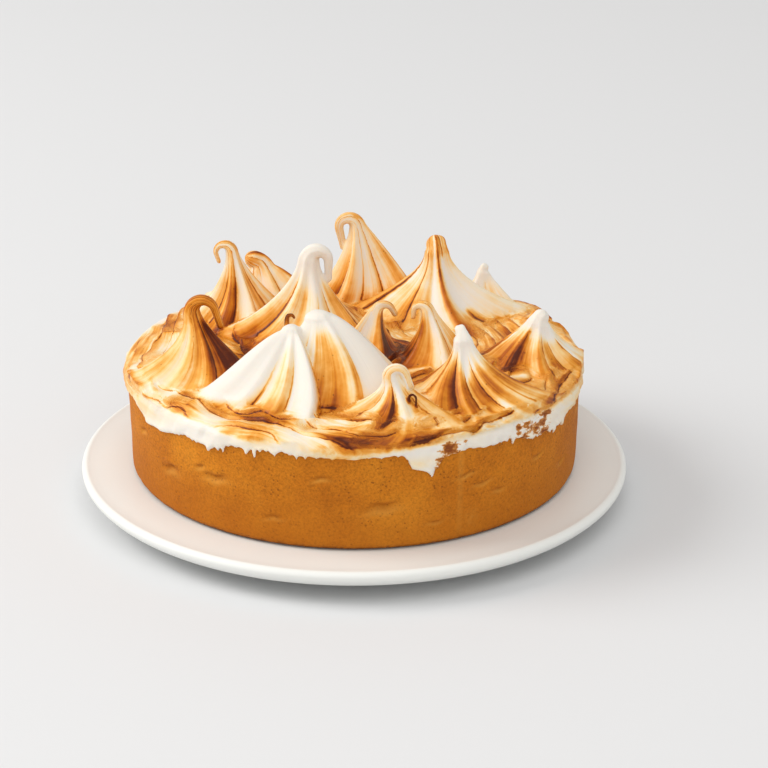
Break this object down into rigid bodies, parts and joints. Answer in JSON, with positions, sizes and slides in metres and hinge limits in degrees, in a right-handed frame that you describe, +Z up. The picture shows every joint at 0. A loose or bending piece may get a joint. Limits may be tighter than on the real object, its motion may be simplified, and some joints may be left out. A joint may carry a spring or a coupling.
{
  "type": "lemon meringue pie",
  "caption": "Deep straight-sided pie under toasted meringue pulled into curled peaks, on a flat round dinner plate.",
  "frame": {"origin": "centre of the plate's foot ring, on the surface the plate stands on", "axes": "+Z up; -Y towards the front, the side with the wide white peak; +X to the right seen from the front"},
  "size_m": [0.266, 0.266, 0.1188],
  "materials": {
    "plate_glaze": "warm white satin glaze on stoneware",
    "baked_pastry": "baked shortcrust pastry, golden brown, matt and finely pored",
    "toasted_meringue": "whipped meringue, white in the folds and torched tan to dark brown on the ridges, soft sheen"
  },
  "bodies": {
    "root": {"plate": "plate_glaze", "case": "baked_pastry", "meringue": "toasted_meringue"}
  },
  "joints": []
}
